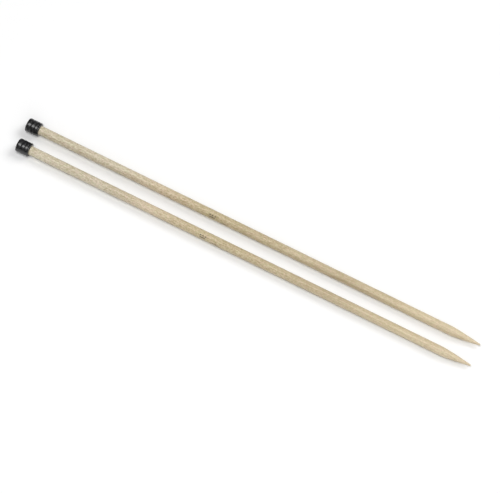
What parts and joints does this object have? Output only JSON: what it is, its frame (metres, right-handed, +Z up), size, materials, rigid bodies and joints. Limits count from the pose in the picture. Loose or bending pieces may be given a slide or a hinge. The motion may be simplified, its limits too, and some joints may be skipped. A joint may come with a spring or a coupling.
{
  "type": "straight knitting needles",
  "caption": "Pair of single-pointed straight knitting needles: turned wooden shafts, each tapering to a rounded point, with a ribbed black end cap glued on the other end.",
  "frame": {"origin": "centre of the pair's box, on the surface that the needles lie on", "axes": "+X along the needles towards their points, +Y towards the rear needle, +Z up"},
  "size_m": [0.3565, 0.0266, 0.0099],
  "materials": {
    "shaft_wood": "fine-sanded and waxed, satin",
    "cap_plastic": "moulded black plastic, semi-matte",
    "cap_glue": "cured clear adhesive, hidden inside the cap"
  },
  "bodies": {
    "rear_needle": {"rear_shaft": "shaft_wood", "rear_cap": "cap_plastic", "rear_cap_glue": "cap_glue"},
    "front_needle": {"front_shaft": "shaft_wood", "front_cap": "cap_plastic", "front_cap_glue": "cap_glue"}
  },
  "joints": [
    {"name": "front_needle_slide", "type": "slide", "parent": "rear_needle", "child": "front_needle", "axis": [0, -1, 0], "range_m": [-0.0065, 0.15]}
  ]
}
